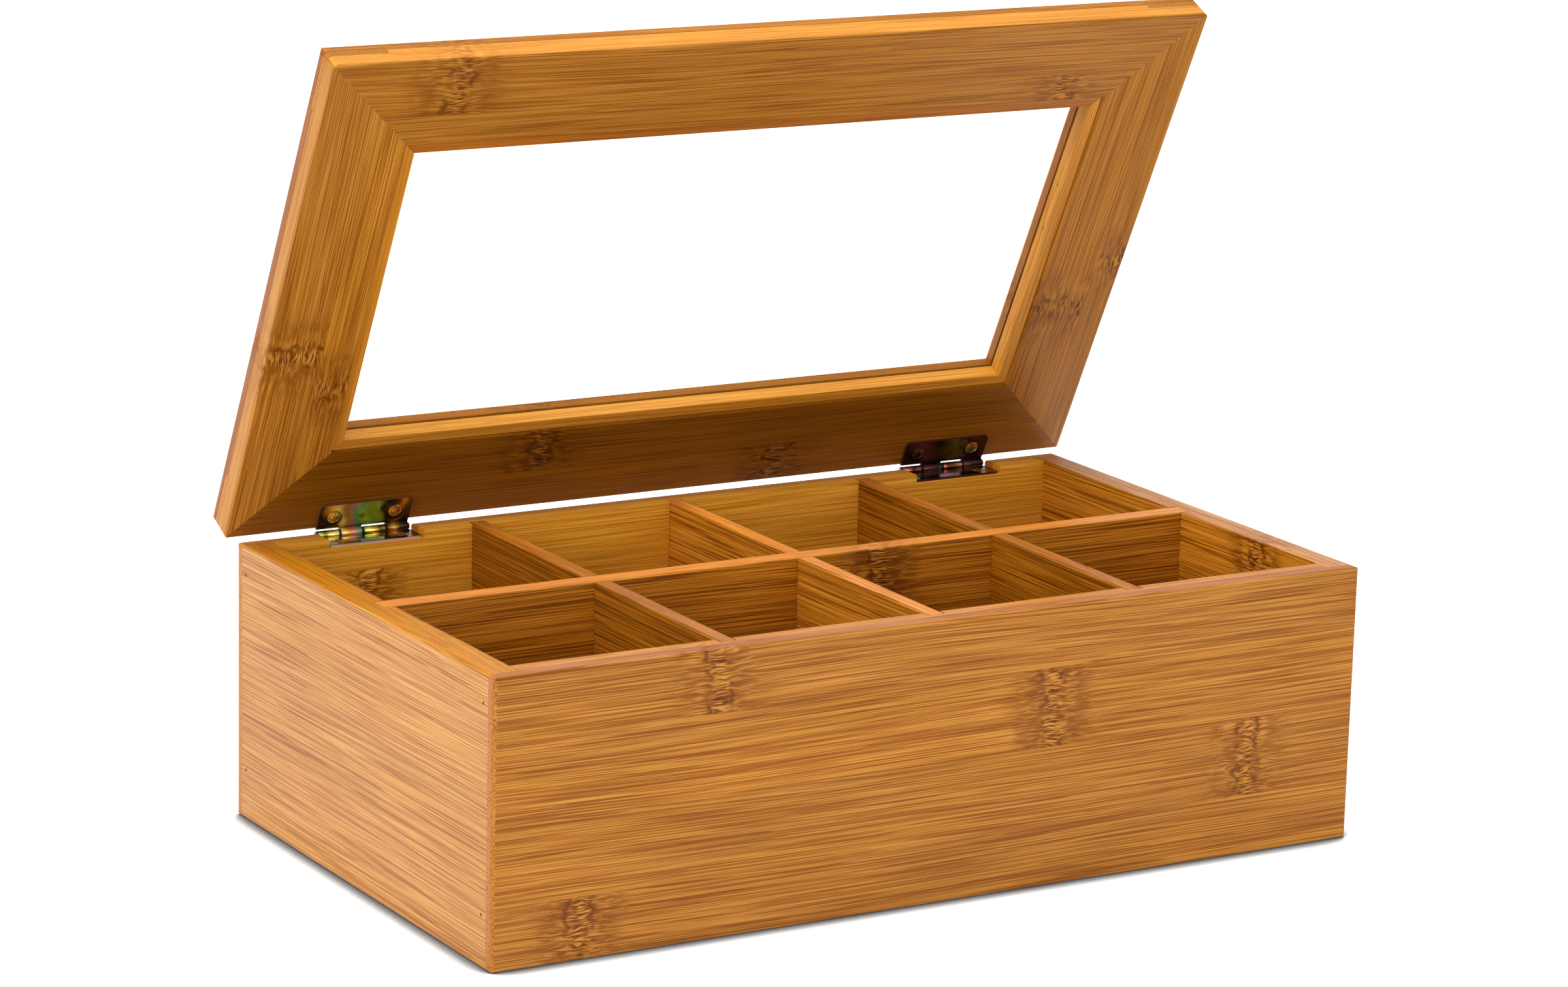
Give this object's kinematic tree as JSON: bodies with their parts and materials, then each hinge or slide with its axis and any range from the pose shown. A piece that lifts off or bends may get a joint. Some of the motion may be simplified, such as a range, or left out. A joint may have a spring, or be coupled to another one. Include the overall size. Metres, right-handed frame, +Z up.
{
  "type": "tea bag organizer box",
  "caption": "Hinged bamboo tea box with divided compartments and a framed clear window in its lid, shown with the lid open.",
  "frame": {"origin": "centre of the underside of the box", "axes": "+X to the right as seen from the front, +Y towards the hinges at the back, +Z up"},
  "size_m": [0.338, 0.2024, 0.2748],
  "materials": {
    "bamboo_walls": "satin",
    "bamboo_dividers": "satin",
    "bamboo_base": "satin",
    "bamboo_lid": "satin",
    "bamboo_beads": "satin",
    "bamboo_keys": "satin",
    "clear_pane": "polished",
    "hinge_metal": "satin",
    "screw_metal": "satin",
    "steel": "satin"
  },
  "bodies": {
    "box": {"front_wall": "bamboo_walls", "back_wall": "bamboo_walls", "left_wall": "bamboo_walls", "right_wall": "bamboo_walls", "base_panel": "bamboo_base", "long_divider": "bamboo_dividers", "cross_divider_left": "bamboo_dividers", "cross_divider_middle": "bamboo_dividers", "cross_divider_right": "bamboo_dividers", "corner_brads": "steel", "left_hinge_wall_leaf": "hinge_metal", "right_hinge_wall_leaf": "hinge_metal", "left_hinge_pin": "steel", "right_hinge_pin": "steel", "left_wall_screws": "screw_metal", "right_wall_screws": "screw_metal"},
    "lid": {"lid_front_rail": "bamboo_lid", "lid_back_rail": "bamboo_lid", "lid_left_stile": "bamboo_lid", "lid_right_stile": "bamboo_lid", "mitre_key_front_left": "bamboo_keys", "mitre_key_front_right": "bamboo_keys", "mitre_key_back_left": "bamboo_keys", "mitre_key_back_right": "bamboo_keys", "window_pane": "clear_pane", "front_bead": "bamboo_beads", "back_bead": "bamboo_beads", "left_bead": "bamboo_beads", "right_bead": "bamboo_beads", "bead_brads": "steel", "left_hinge_lid_leaf": "hinge_metal", "right_hinge_lid_leaf": "hinge_metal", "left_lid_screws": "screw_metal", "right_lid_screws": "screw_metal"}
  },
  "joints": [
    {"name": "lid_hinge", "type": "hinge", "parent": "box", "child": "lid", "pos_m": [0, 0.0967, 0.09465], "axis": [-1, 0, 0], "range_deg": [-64, 116]}
  ]
}
